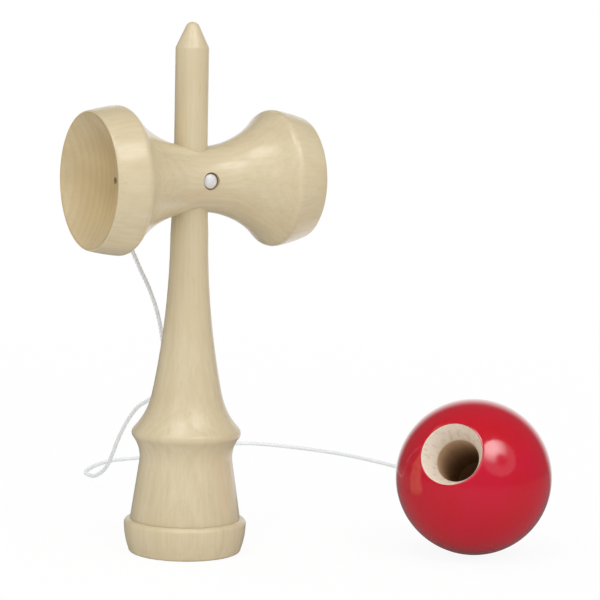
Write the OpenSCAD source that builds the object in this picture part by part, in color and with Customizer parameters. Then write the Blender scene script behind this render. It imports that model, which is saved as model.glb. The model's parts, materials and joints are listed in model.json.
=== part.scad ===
// Cup and ball toy: a turned handle with a spike, a cross-piece with two cups, and a ball on a string.
// The handle stands on its base cup at the origin, the cross-piece lies along X, and the pin faces -Y.

/* [Handle] */
// Height from the table to the tip of the spike
handle_h = 185; // [175:0.5:200]
// Radius of the spike
spike_r = 5.8; // [5.2:0.05:6.6]
// Half angle of the spike's point, in degrees
point_angle = 25; // [20:1:32]
// Radius that rounds the tip of the spike
tip_r = 2.6; // [1.2:0.1:3.6]
// How much wider the tapered seat of the cross-piece is at its lower end than the spike
seat_taper = 0.55; // [0.2:0.05:0.8]
// How far the tapered seat runs past the waist of the cross-piece, at each end
seat_overrun = 2.4; // [1.8:0.1:4]
// How much wider the grip is than the lower end of the seat
grip_step = 0.25; // [0.1:0.05:1]
// Length of the grip between the seat and the start of the flare
grip_land = 5; // [2:0.1:12]
// Radius of the hollow where the flare runs out to the collar
flare_cove_r = 25; // [18:1:30]
// Slope of the flare where it leaves the collar, in degrees
flare_angle = 43; // [38:1:50]
// How far the collar stands out from the neck below it
collar_overhang = 2.9; // [1.6:0.1:4]
// Height of the collar's widest ring
collar_z = 42.1; // [40:0.1:46]
// Radius that rounds the edge of the collar
collar_nose_r = 2.4; // [1.2:0.1:2.8]
// Radius of the neck
neck_r = 16.2; // [14:0.1:18]
// Height of the neck
neck_z = 33.6; // [31:0.1:36]

/* [Base] */
// Radius of the foot on the table
foot_r = 19.8; // [18:0.1:23]
// Radius that rounds the foot's outer edge
foot_edge_r = 1.2; // [0.3:0.1:1.6]
// How far the base ring stands out from the foot
ring_overhang = 1.6; // [0.8:0.1:3]
// Height of the base ring at its widest
ring_z = 10.2; // [8:0.1:12]
// Radius that rounds the upper edge of the ring
ring_edge_r = 1.5; // [0.5:0.1:1.8]
// Slope of the ledge above the ring, in degrees from the table
ledge_angle = 10; // [4:1:40]
// How far the ledge runs in from the ring
ledge_w = 2.1; // [1.6:0.1:4]
// Radius of the turned groove at the top of the ledge
groove_r = 0.4; // [0.2:0.05:0.6]
// Width of the flat rim round the base cup
base_lip = 1.6; // [1:0.1:3]
// Depth of the base cup
base_cup_d = 7; // [4:0.5:9]

/* [Cross-piece] */
// Height of the cross-piece's axis
cross_z = 130.7; // [124:0.1:138]
// Radius of the waist
waist_r = 11.3; // [9.6:0.1:13]
// Place of the waist along X, off the handle's axis
waist_x = 2.5; // [0:0.1:3.5]
// Radius that rounds the two shoulders
shoulder_edge_r = 3; // [1:0.1:4]
// Radius of the bulge of the bands between shoulder and rim
band_r = 64; // [30:1:90]
// Width of the flat lip round each cup
cup_lip = 0.8; // [0.5:0.1:1.5]
// Outer radius of the big cup's rim
big_rim_r = 23.8; // [21:0.1:27]
// How far the big cup's shoulder stands out past its rim
big_swell = 1.9; // [1:0.1:4]
// Distance from the waist to the big cup's shoulder
big_shoulder = 30.6; // [27:0.1:36]
// Width of the big cup's band
big_band = 10.6; // [8:0.1:14]
// Depth of the big cup
big_cup_d = 10; // [7:0.5:13]
// Outer radius of the small cup's rim
small_rim_r = 21.4; // [19:0.1:25]
// How far the small cup's shoulder stands out past its rim
small_swell = 2.6; // [1:0.1:4]
// Distance from the waist to the small cup's shoulder
small_shoulder = 29.6; // [26:0.1:35]
// Width of the small cup's band
small_band = 10.5; // [8:0.1:14]
// Depth of the small cup
small_cup_d = 9; // [6:0.5:12]

/* [Pin] */
// Radius of the pin's shank
pin_r = 0.9; // [0.7:0.05:1.2]
// Length of the pin under its head
pin_len = 9.5; // [7:0.5:10]
// Length of the pin's point
pin_point = 2; // [1:0.1:3]
// Radius of the pin's head
pin_head_r = 2.4; // [1.8:0.1:2.8]
// Thickness of the pin's head at its edge
pin_head_t = 0.5; // [0.3:0.1:0.8]
// Height of the head's dome above its edge
pin_dome = 0.4; // [0.2:0.1:0.6]
// Gap round the head in its counterbore
pin_head_gap = 0.7; // [0.2:0.05:0.9]
// Depth of the counterbore
pin_recess = 1.2; // [0.8:0.1:2]

/* [Ball] */
// Radius of the ball
ball_r = 27.5; // [25:0.1:31]
// Place of the ball's centre along X
ball_x = 90.6; // [85:0.1:110]
// Place of the ball's centre along Y
ball_y = -45.7; // [-60:0.1:-30]
// Tilt of the ball's bore from upright, in degrees
ball_tilt = 63; // [40:1:80]
// Direction that the mouth of the bore faces round the vertical, in degrees from +X
ball_turn = 216; // [200:1:240]
// Radius of the bore
bore_r = 7.65; // [7:0.05:8.6]
// Length of the bore's straight wall
bore_len = 24; // [18:0.5:26]
// Radius of the bevel at the ball's surface
bevel_r = 11.1; // [9.8:0.1:13]
// Depth of the bevel
bevel_d = 7.1; // [4:0.1:9]
// Half angle of the taper at the bottom of the bore, in degrees
taper_angle = 30; // [25:1:45]

/* [String] */
// Diameter of the string
cord_d = 1.6; // [1:0.1:2]
// Gap round the string in the holes that it runs through
cord_gap = 0.6; // [0.3:0.05:0.8]
// Radius of the bead inside the ball
bead_r = 3; // [2.6:0.1:3.6]
// Gap between the bead and the taper that it swivels in
bead_gap = 0.2; // [0.1:0.05:0.4]
// Gap round the string in the bead
bead_hole_gap = 0.3; // [0.1:0.05:0.5]
// Width of the flat ends of the bead, as a radius
bead_flat_r = 1.8; // [1.5:0.1:2.2]
// Radius of the knots
knot_r = 2.1; // [1.8:0.1:2.6]
// Length of the knots
knot_len = 3.6; // [2.5:0.1:4.2]
// How far the ends of a knot stand out from the string
knot_step = 0.3; // [0.1:0.05:0.5]
// Gap round the knot in its pocket
knot_gap = 0.3; // [0.1:0.05:0.6]

/* [Hidden] */
$fn = 96;
// How far a cutter reaches past the surface that it opens
past = 1;
arc_steps = 10;

// Points along an arc, from one angle to another
function arc(centre, r, from, to, steps = arc_steps) =
    [for (i = [0:steps]) let (a = from + (to - from) * i / steps) centre + r * [cos(a), sin(a)]];

// Radius of a sphere that cuts a dish of this mouth radius and depth
function dish_r(mouth, depth) = (mouth * mouth + depth * depth) / (2 * depth);

function unit(v) = v / norm(v);
function angle_of(v) = atan2(v[1], v[0]);
function reverse(list) = [for (i = [len(list) - 1:-1:0]) list[i]];

// Handle: heights and radii
seat_half = waist_r + seat_overrun;
seat_r = spike_r + seat_taper;
seat_mid_r = (seat_r + spike_r) / 2;
seat_low_z = cross_z - seat_half;
grip_r = seat_r + grip_step;
grip_z = seat_low_z - grip_land;
ring_r = foot_r + ring_overhang;
body_r = ring_r - ledge_w;
base_cup_r = foot_r - foot_edge_r - base_lip;

// The ring's flank is an arc that stands upright at the ring
flank_h = ring_z - foot_edge_r;
flank_r = (ring_overhang * ring_overhang + flank_h * flank_h) / (2 * ring_overhang);
ring_edge_c = [ring_r - ring_edge_r, ring_z];
ledge_start = ring_edge_c + ring_edge_r * [sin(ledge_angle), cos(ledge_angle)];
ledge_end = [body_r, ledge_start[1] + (ledge_start[0] - body_r) * tan(ledge_angle)];

// The collar's edge is a small circle that the neck's hollow and the flare's hollow both touch
nose_c = [neck_r + collar_overhang - collar_nose_r, collar_z];
neck_in = nose_c[0] - neck_r;
neck_rise = collar_z - neck_z;
neck_cove_r = (neck_in * neck_in + neck_rise * neck_rise - collar_nose_r * collar_nose_r)
    / (2 * (collar_nose_r + neck_in));
neck_c = [neck_r + neck_cove_r, neck_z];
neck_end = angle_of(nose_c - neck_c);
// The body is a straight taper that runs tangent into the neck's hollow
body_to_neck = neck_c - ledge_end;
body_slope = angle_of(body_to_neck) + asin(neck_cove_r / norm(body_to_neck));

// The flare is a small hollow at the collar that runs into a large one up the grip
flare_c = nose_c + (collar_nose_r + flare_cove_r) * [cos(flare_angle), sin(flare_angle)];
flare_in = flare_c[0] - grip_r;
flare_rise = grip_z - flare_c[1];
flare_r = (flare_in * flare_in + flare_rise * flare_rise - flare_cove_r * flare_cove_r)
    / (2 * (flare_in - flare_cove_r));
grip_c = [grip_r + flare_r, grip_z];
flare_join = 180 + angle_of(grip_c - flare_c);

tip_c = [0, handle_h - tip_r];
point_start = tip_c + tip_r * [cos(point_angle), sin(point_angle)];
spike_top = point_start[1] - (spike_r - point_start[0]) / tan(point_angle);

handle_outline = concat(
    [[0, 0]],
    arc([foot_r - foot_edge_r, foot_edge_r], foot_edge_r, -90, 0, 4),
    arc([ring_r - flank_r, ring_z], flank_r, -asin(flank_h / flank_r), 0, 6),
    arc(ring_edge_c, ring_edge_r, 0, 90 - ledge_angle, 4),
    [ledge_end],
    arc(neck_c, neck_cove_r, body_slope + 90, neck_end),
    arc(nose_c, collar_nose_r, neck_end - 180, flare_angle),
    arc(flare_c, flare_cove_r, flare_angle + 180, flare_join),
    arc(grip_c, flare_r, flare_join, 180, 20),
    [[seat_r, seat_low_z], [spike_r, cross_z + seat_half], [spike_r, spike_top]],
    arc(tip_c, tip_r, point_angle, 90, 6));

// Cross-piece: from the waist to a rim, as distance from the waist and radius
function arm(shoulder, ridge, band, rim) =
    let (rise = ridge - waist_r,
         cove_r = (shoulder * shoulder + rise * rise) / (2 * rise) - shoulder_edge_r,
         cove_c = [0, waist_r + cove_r],
         ridge_c = [shoulder, ridge - shoulder_edge_r],
         rim_p = [shoulder + band, rim],
         reach = norm(rim_p - ridge_c),
         inner = band_r - shoulder_edge_r,
         along = (inner * inner - band_r * band_r + reach * reach) / (2 * reach),
         off = sqrt(inner * inner - along * along),
         u = unit(rim_p - ridge_c),
         band_c = ridge_c + along * u + off * [u[1], -u[0]],
         cove_end = angle_of(ridge_c - cove_c),
         ridge_end = angle_of(ridge_c - band_c))
    concat(arc(cove_c, cove_r, -90, cove_end, 18),
           arc(ridge_c, shoulder_edge_r, cove_end + 180, ridge_end, 8),
           arc(band_c, band_r, ridge_end, angle_of(rim_p - band_c), 6));

big_rim_x = waist_x - big_shoulder - big_band;
small_rim_x = waist_x + small_shoulder + small_band;
big_arm = arm(big_shoulder, big_rim_r + big_swell, big_band, big_rim_r);
small_arm = arm(small_shoulder, small_rim_r + small_swell, small_band, small_rim_r);
cross_outline = concat(
    [[0, big_rim_x]],
    [for (p = reverse(big_arm)) [p[1], waist_x - p[0]]],
    [for (i = [1:len(small_arm) - 1]) [small_arm[i][1], waist_x + small_arm[i][0]]],
    [[0, small_rim_x]]);
big_dish_r = dish_r(big_rim_r - cup_lip, big_cup_d);
small_dish_r = dish_r(small_rim_r - cup_lip, small_cup_d);

// Pin: the head rests on the floor of its counterbore
pin_seat_y = pin_recess - waist_r;
pin_dome_r = dish_r(pin_head_r, pin_dome);

// Ball: places along the bore from the ball's centre, with the mouth upwards
mouth_z = sqrt(ball_r * ball_r - bevel_r * bevel_r);
bore_top = mouth_z - bevel_d;
bore_end = bore_top - bore_len;
bevel_slope = (bevel_r - bore_r) / bevel_d;
cord_r = cord_d / 2;
cord_hole_r = cord_r + cord_gap;
taper_end = bore_end - (bore_r - cord_hole_r) / tan(taper_angle);
// The bore as radius and place: string hole, taper, straight wall and bevel
bore_reach = ball_r + past;
bore_outline = [
    [0, -bore_reach], [cord_hole_r, -bore_reach], [cord_hole_r, taper_end], [bore_r, bore_end],
    [bore_r, bore_top], [bore_r + bevel_slope * (bore_reach - bore_top), bore_reach], [0, bore_reach]];
bead_z = bore_end - bore_r / tan(taper_angle) + (bead_r + bead_gap) / sin(taper_angle);
bead_half = sqrt(bead_r * bead_r - bead_flat_r * bead_flat_r);
bead_top = bead_z + bead_half;
ball_c = [ball_x, ball_y, ball_r];
bore_axis = [sin(ball_tilt) * cos(ball_turn), sin(ball_tilt) * sin(ball_turn), cos(ball_tilt)];

// Knots: a swelling with flat ends, wider than the holes that they stop
knot_end_r = cord_r + knot_step;
knot_steps = 12;
anchor_face_y = seat_mid_r - knot_gap;
anchor_back_y = anchor_face_y - knot_len;

// String: the points that it follows from the anchor knot, down to the table and round to the ball
cord_lead = 9;
cord_route = concat(
    [[0, anchor_face_y, cross_z], [0, 14, cross_z]],
    [[-2, 19, 127.5], [-6, 24.5, 118.5], [-9, 28.5, 108], [-5, 30, 98.5], [0, 32, 90.5],
     [5, 35, 81.5], [9.5, 39.5, 72], [13.2, 45, 62], [14.8, 51, 54], [15, 57, 46],
     [12.5, 64.5, 41], [11.5, 71.5, 34.5], [12, 80, 26.5], [14.5, 90, 19], [17.8, 102, 12],
     [20.5, 113, 7.5], [23.5, 125, 4], [27, 137, 2], [30.5, 148.5, 0.8], [34.5, 155, 0.8],
     [41.5, 162.5, 0.8], [53, 170.5, 0.8], [68.5, 172.5, 0.8], [91, 178, 0.8], [111, 186, 0.8],
     [123, 188, 0.8], [133, 180, 0.8], [143, 164, 0.8], [150.5, 146, 0.8], [154.5, 126, 0.8],
     [156.5, 102, 0.8], [156, 74, 0.8], [153.5, 46, 0.8], [149, 19, 0.8], [142, -2, 1],
     [131, -14.5, 4.2]],
    [ball_c - (ball_r + cord_lead) * bore_axis, ball_c - ball_r * bore_axis]);
cord_sides = 8;
cord_spans = len(cord_route) - 1;

// A smooth curve through the points of the route, kept on the table
function on_table(p) = [p[0], p[1], max(p[2], cord_r)];
function route_point(i) =
    i < 0 ? 2 * cord_route[0] - cord_route[1]
    : i > cord_spans ? 2 * cord_route[cord_spans] - cord_route[cord_spans - 1]
    : cord_route[i];
function along_span(a, b, c, d, t) =
    (2 * b + (c - a) * t + (2 * a - 5 * b + 4 * c - d) * t * t + (3 * b - a - 3 * c + d) * t * t * t) / 2;
function on_route(i, t) =
    on_table(along_span(route_point(i - 1), route_point(i), route_point(i + 1), route_point(i + 2), t));
cord_path = concat(
    [for (i = [0:cord_spans - 1]) for (half = [0, 1]) on_route(i, half / 2)],
    [cord_route[cord_spans]]);
cord_last = len(cord_path) - 1;

// Rings of points square to the path, and the triangles that join them
function cord_way(i) =
    i == 0 ? unit(cord_route[1] - cord_route[0])
    : i == cord_last ? unit(cord_route[cord_spans] - cord_route[cord_spans - 1])
    : unit(cord_path[i + 1] - cord_path[i - 1]);
function cord_ring(p, way) =
    let (across = unit(cross([0, 0, 1], way)), up = cross(way, across))
    [for (k = [0:cord_sides - 1])
        let (a = 360 * k / cord_sides) p + cord_r * (cos(a) * across + sin(a) * up)];
cord_points = [for (i = [0:cord_last]) each cord_ring(cord_path[i], cord_way(i))];
cord_walls = [for (i = [0:cord_last - 1]) for (k = [0:cord_sides - 1])
    let (a = i * cord_sides + k, b = i * cord_sides + (k + 1) % cord_sides)
    each [[a, a + cord_sides, b], [b, a + cord_sides, b + cord_sides]]];
cord_end = cord_last * cord_sides;
cord_caps = [for (k = [1:cord_sides - 2])
    each [[0, k, k + 1], [cord_end, cord_end + k + 1, cord_end + k]]];

pale_wood = [0.84, 0.77, 0.61];
bead_wood = [0.78, 0.68, 0.5];
crimson = [0.72, 0.1, 0.14];
bright_steel = [0.8, 0.8, 0.82];
white_cord = [0.9, 0.89, 0.86];

module at_ball() {
    translate(ball_c) rotate([0, ball_tilt, ball_turn]) children();
}

module pin_shank() {
    translate([waist_x, pin_seat_y, cross_z]) rotate([-90, 0, 0]) {
        cylinder(h = pin_len - pin_point, r = pin_r);
        translate([0, 0, pin_len - pin_point]) cylinder(h = pin_point, r1 = pin_r, r2 = 0);
    }
}

module knot() {
    rotate_extrude() polygon(concat(
        [[0, 0]],
        [for (i = [0:knot_steps])
            [knot_end_r + (knot_r - knot_end_r) * sin(180 * i / knot_steps), knot_len * i / knot_steps]],
        [[0, knot_len]]));
}

module handle() {
    base_dish_r = dish_r(base_cup_r, base_cup_d);
    color(pale_wood) difference() {
        rotate_extrude() difference() {
            polygon(handle_outline);
            translate(ledge_end) circle(r = groove_r);
        }
        translate([0, 0, base_cup_d - base_dish_r]) sphere(r = base_dish_r);
        pin_shank();
        translate([0, anchor_back_y - knot_gap, cross_z]) rotate([-90, 0, 0])
            cylinder(h = seat_r - anchor_back_y + knot_gap + past, r = knot_r + knot_gap);
    }
}

module cross_piece() {
    color(pale_wood) difference() {
        translate([0, 0, cross_z]) rotate([0, 90, 0]) rotate_extrude() polygon(cross_outline);
        translate([big_rim_x + big_cup_d - big_dish_r, 0, cross_z]) sphere(r = big_dish_r);
        translate([small_rim_x - small_cup_d + small_dish_r, 0, cross_z]) sphere(r = small_dish_r);
        translate([0, 0, seat_low_z]) cylinder(h = 2 * seat_half, r1 = seat_r, r2 = spike_r);
        pin_shank();
        translate([waist_x, pin_seat_y, cross_z]) rotate([90, 0, 0])
            cylinder(h = pin_recess + past, r = pin_head_r + pin_head_gap);
        translate([0, 0, cross_z]) rotate([-90, 0, 0]) cylinder(h = waist_r + past, r = cord_hole_r);
    }
}

module cross_pin() {
    color(bright_steel) union() {
        pin_shank();
        translate([waist_x, pin_seat_y, cross_z]) rotate([90, 0, 0]) intersection() {
            cylinder(h = pin_head_t + pin_dome, r = pin_head_r);
            translate([0, 0, pin_head_t + pin_dome - pin_dome_r]) sphere(r = pin_dome_r);
        }
    }
}

module ball() {
    color(crimson) at_ball() difference() {
        sphere(r = ball_r);
        rotate_extrude() polygon(bore_outline);
    }
}

module ball_bead() {
    color(bead_wood) at_ball() translate([0, 0, bead_z]) difference() {
        intersection() {
            sphere(r = bead_r);
            translate([0, 0, -bead_half]) cylinder(h = 2 * bead_half, r = bead_r + past);
        }
        translate([0, 0, -bead_r]) cylinder(h = 2 * bead_r, r = cord_r + bead_hole_gap);
    }
}

module bead_knot() {
    color(white_cord) at_ball() translate([0, 0, bead_top]) knot();
}

module anchor_knot() {
    color(white_cord) translate([0, anchor_back_y, cross_z]) rotate([-90, 0, 0]) knot();
}

module string() {
    color(white_cord) polyhedron(points = cord_points, faces = concat(cord_walls, cord_caps));
}

module string_tail() {
    color(white_cord) at_ball() translate([0, 0, -ball_r]) cylinder(h = ball_r + bead_top, r = cord_r);
}

handle();
cross_piece();
cross_pin();
ball();
ball_bead();
bead_knot();
anchor_knot();
string();
string_tail();
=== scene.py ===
import json
from math import asin, atan2, ceil, cos, pi, radians, sin, sqrt, tan

import bmesh
import bpy
from bpy.props import FloatProperty, FloatVectorProperty, IntProperty, PointerProperty
from mathutils import Matrix, Vector


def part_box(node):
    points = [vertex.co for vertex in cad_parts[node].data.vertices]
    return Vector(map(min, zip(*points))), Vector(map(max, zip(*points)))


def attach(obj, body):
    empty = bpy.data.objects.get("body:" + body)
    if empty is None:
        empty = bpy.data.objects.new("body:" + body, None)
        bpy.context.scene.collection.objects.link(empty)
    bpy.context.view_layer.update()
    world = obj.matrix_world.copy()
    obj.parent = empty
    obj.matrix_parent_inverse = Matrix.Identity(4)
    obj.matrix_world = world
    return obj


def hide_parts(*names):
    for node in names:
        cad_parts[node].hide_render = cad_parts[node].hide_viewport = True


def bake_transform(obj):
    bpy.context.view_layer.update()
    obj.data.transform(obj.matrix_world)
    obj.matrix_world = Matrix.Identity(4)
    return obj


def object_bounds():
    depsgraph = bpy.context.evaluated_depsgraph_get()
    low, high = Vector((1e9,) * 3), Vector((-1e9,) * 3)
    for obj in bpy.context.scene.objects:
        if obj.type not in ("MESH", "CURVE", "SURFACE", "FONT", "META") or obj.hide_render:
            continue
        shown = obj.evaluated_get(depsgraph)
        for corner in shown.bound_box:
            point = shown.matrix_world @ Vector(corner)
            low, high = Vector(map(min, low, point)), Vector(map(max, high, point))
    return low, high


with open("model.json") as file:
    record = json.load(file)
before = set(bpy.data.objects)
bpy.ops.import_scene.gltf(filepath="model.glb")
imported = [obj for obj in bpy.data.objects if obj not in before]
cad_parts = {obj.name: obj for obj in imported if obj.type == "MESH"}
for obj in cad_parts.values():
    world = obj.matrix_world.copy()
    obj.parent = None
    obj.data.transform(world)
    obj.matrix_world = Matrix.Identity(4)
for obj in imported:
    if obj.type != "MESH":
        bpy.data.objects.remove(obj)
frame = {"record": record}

bl_info = {
    "name": "Cup and Ball Toy",
    "version": (1, 0, 0),
    "blender": (4, 5, 0),
    "location": "3D View > Sidebar > Cup and Ball",
    "description": "Builds a turned wooden cup and ball toy with its string, finishes and studio",
    "category": "Add Mesh",
}

# Sizes and places that the frame already holds, in metres
CAD_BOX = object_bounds()
MIDDLE = (CAD_BOX[0] + CAD_BOX[1]) / 2
MOUNTS = {mount["name"]: mount for mount in frame["record"]["mounts"]}
SPIKE_R = MOUNTS["spike"]["dims"]["r_mm"] / 1000
BORE_R = MOUNTS["ball_bore"]["dims"]["r_mm"] / 1000
BORE_LENGTH = MOUNTS["ball_bore"]["dims"]["length_mm"] / 1000
BORE_AXIS = Vector(MOUNTS["ball_bore"]["axis"]).normalized()
HANDLE_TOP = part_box("handle")[1]
CROSS_LOW, CROSS_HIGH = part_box("cross_piece")
CROSS_Z = (CROSS_LOW.z + CROSS_HIGH.z) / 2
PIN_LOW, PIN_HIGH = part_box("cross_pin")
PIN_X = (PIN_LOW.x + PIN_HIGH.x) / 2
BALL_LOW, BALL_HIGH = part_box("ball")
BALL_C = (BALL_LOW + BALL_HIGH) / 2
BALL_R = (BALL_HIGH.z - BALL_LOW.z) / 2
ANCHOR_LOW, ANCHOR_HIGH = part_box("anchor_knot")

MM = 0.001
# Points closer than this are one point
MERGE = 1e-6


def length(name, description, default):
    """A length in metres."""
    return FloatProperty(name=name, description=description, default=default, min=0.0,
                         subtype="DISTANCE", unit="LENGTH", precision=5)


def coordinate(name, description, default):
    """A coordinate in metres, which may be below zero."""
    return FloatProperty(name=name, description=description, default=default,
                         subtype="DISTANCE", unit="LENGTH", precision=5)


def angle(name, description, degrees):
    """An angle, given in degrees."""
    return FloatProperty(name=name, description=description, default=radians(degrees),
                         subtype="ANGLE", unit="ROTATION")


def share(name, description, default):
    """A share from 0 to 1."""
    return FloatProperty(name=name, description=description, default=default, min=0.0, max=1.0,
                         subtype="FACTOR")


def level(name, description, default):
    """A number from 0 up, such as a light's strength."""
    return FloatProperty(name=name, description=description, default=default, min=0.0)


def facing(name, description, default):
    """A direction from the toy."""
    return FloatVectorProperty(name=name, description=description, default=default, size=3,
                               subtype="DIRECTION")


def count(name, description, default):
    """A whole number of parts or steps."""
    return IntProperty(name=name, description=description, default=default, min=1)


def colour(name, description, red, green, blue):
    """A colour, given as it looks on a screen, from 0 to 255."""
    screen = [part / 255 for part in (red, green, blue)]
    linear = [part / 12.92 if part <= 0.04045 else ((part + 0.055) / 1.055) ** 2.4 for part in screen]
    return FloatVectorProperty(name=name, description=description, default=linear, size=3,
                               min=0.0, max=1.0, subtype="COLOR")


class HandleSizes(bpy.types.PropertyGroup):
    """Sizes of the turned handle."""
    height: length("Height", "From the table to the tip of the spike", HANDLE_TOP.z)
    spike_r: length("Spike radius", "Radius of the spike", SPIKE_R)
    point_angle: angle("Point angle", "Half angle of the spike's point", 25)
    tip_r: length("Tip rounding", "Radius that rounds the tip", 2.6 * MM)
    seat_taper: length("Seat taper", "How much wider the cross-piece's seat is at its foot", 0.55 * MM)
    seat_overrun: length("Seat overrun", "How far the seat runs past the waist at each end", 2.4 * MM)
    grip_step: length("Grip step", "How much wider the grip is than its seat", 0.25 * MM)
    grip_land: length("Grip land", "Length of the grip above the flare", 5 * MM)
    flare_cove: length("Flare hollow", "Radius of the hollow above the collar", 25 * MM)
    flare_angle: angle("Flare angle", "Slope of the flare where it leaves the collar", 43)
    collar_overhang: length("Collar overhang", "How far the collar stands out from the neck", 2.9 * MM)
    collar_z: length("Collar height", "Height of the collar's widest ring", 42.1 * MM)
    collar_nose: length("Collar rounding", "Radius that rounds the collar's edge", 2.4 * MM)
    neck_r: length("Neck radius", "Radius of the neck", 16.2 * MM)
    neck_z: length("Neck height", "Height of the neck", 33.6 * MM)
    foot_r: length("Foot radius", "Radius of the foot on the table", 19.8 * MM)
    foot_edge: length("Foot rounding", "Radius that rounds the foot's edge", 1.2 * MM)
    ring_r: length("Ring radius", "Radius of the base ring", HANDLE_TOP.x)
    ring_z: length("Ring height", "Height of the base ring at its widest", 10.2 * MM)
    ring_edge: length("Ring rounding", "Radius that rounds the ring's upper edge", 1.5 * MM)
    ledge_angle: angle("Ledge angle", "Slope of the ledge above the ring", 10)
    ledge_w: length("Ledge width", "How far the ledge runs in from the ring", 2.1 * MM)
    groove_r: length("Groove radius", "Radius of the turned groove above the ledge", 0.1 * MM)
    base_lip: length("Base lip", "Width of the flat rim round the base cup", 1.6 * MM)
    base_cup: length("Base cup depth", "Depth of the cup under the base", 7 * MM)
    edge: length("Edge softness", "Width that softens the sharp edges", 0.3 * MM)
    steps: count("Steps", "Steps round the handle", 144)


class CrossSizes(bpy.types.PropertyGroup):
    """Sizes of the cross-piece."""
    waist_r: length("Waist radius", "Radius of the waist", 11.3 * MM)
    waist_x: coordinate("Waist place", "Place of the waist along the cross-piece", 2.5 * MM)
    shoulder_edge: length("Shoulder rounding", "Radius that rounds the shoulders", 3 * MM)
    band_r: length("Band bulge", "Radius of the bulge of the bands", 64 * MM)
    lip: length("Cup lip", "Width of the flat lip round each cup", 0.8 * MM)
    big_rim_r: length("Big rim radius", "Outer radius of the big cup's rim", 23.8 * MM)
    big_swell: length("Big swell", "How far the big shoulder stands out past its rim", 1.9 * MM)
    big_shoulder: length("Big shoulder", "From the waist to the big cup's shoulder", 30.6 * MM)
    big_cup: length("Big cup depth", "Depth of the big cup", 10 * MM)
    small_rim_r: length("Small rim radius", "Outer radius of the small cup's rim", 21.4 * MM)
    small_swell: length("Small swell", "How far the small shoulder stands out past its rim", 2.6 * MM)
    small_shoulder: length("Small shoulder", "From the waist to the small cup's shoulder", 29.6 * MM)
    small_cup: length("Small cup depth", "Depth of the small cup", 9 * MM)
    mark_r: length("Centre mark", "Radius of the lathe's centre mark in the big cup", 1.1 * MM)
    mark_depth: length("Mark depth", "Depth of the lathe's centre mark", 1.2 * MM)
    string_hole_r: length("String hole", "Radius of the hole that the string comes out of", 1.4 * MM)
    seat_gap: length("Seat gap", "Gap between the handle and the hole that it fills", 0.04 * MM)
    edge: length("Edge softness", "Width that softens the sharp edges", 0.35 * MM)
    steps: count("Steps", "Steps round the cross-piece", 176)


class PinSizes(bpy.types.PropertyGroup):
    """Sizes of the pin that holds the cross-piece."""
    shank_r: length("Shank radius", "Radius of the pin's shank", 0.9 * MM)
    point: length("Point", "Length of the pin's point", 2 * MM)
    head_r: length("Head radius", "Radius of the pin's head", 2.5 * MM)
    head_t: length("Head thickness", "Thickness of the head at its edge", 0.2 * MM)
    dome: length("Dome", "Height of the head's dome", 0.7 * MM)
    head_gap: length("Head gap", "Gap round the head in its counterbore", 0.6 * MM)
    edge: length("Edge softness", "Width that softens the head's edge", 0.12 * MM)
    steps: count("Steps", "Steps round the pin", 48)


class BallSizes(bpy.types.PropertyGroup):
    """Sizes of the ball, its bore and the bead in it."""
    radius: length("Radius", "Radius of the ball", BALL_R)
    bore_r: length("Bore radius", "Radius of the bore", BORE_R)
    bore_length: length("Bore length", "Length of the bore's straight wall", BORE_LENGTH)
    bevel_r: length("Bevel radius", "Radius of the bevel at the ball's surface", 11.1 * MM)
    bevel_d: length("Bevel depth", "Depth of the bevel", 7.1 * MM)
    taper: angle("Taper", "Half angle of the taper at the bottom of the bore", 30)
    string_hole_r: length("String hole", "Radius of the string's hole", 1.4 * MM)
    bead_r: length("Bead radius", "Radius of the bead", 3 * MM)
    bead_gap: length("Bead gap", "Gap between the bead and its taper", 0.2 * MM)
    bead_flat_r: length("Bead flat", "Radius of the bead's flat ends", 1.8 * MM)
    bead_hole_r: length("Bead hole", "Radius of the hole through the bead", 1.1 * MM)
    bead_steps: count("Bead steps", "Steps round the bead", 48)
    paint_edge: length("Paint edge", "How far below the surface the lacquer still reaches", 0.12 * MM)
    edge: length("Edge softness", "Width that softens the sharp edges", 0.25 * MM)
    steps: count("Steps", "Steps round the ball", 160)


class StringSizes(bpy.types.PropertyGroup):
    """Sizes of the string and its knots."""
    diameter: length("Diameter", "Diameter of the string", 1.6 * MM)
    plies: count("Plies", "Strands that are twisted together", 3)
    lay: length("Lay", "Length in which a strand goes once round", 5.4 * MM)
    valley: share("Valley", "How far the valleys between the strands cut in", 0.3)
    ring_step: length("Ring step", "Distance from ring to ring along the string", 0.36 * MM)
    sides: count("Sides", "Points round the string", 18)
    knot_r: length("Knot radius", "Radius of the knots", 2.1 * MM)
    knot_length: length("Knot length", "Length of the knots", 3.6 * MM)
    knot_turns: level("Knot turns", "Turns of string round a knot", 2.25)


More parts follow.
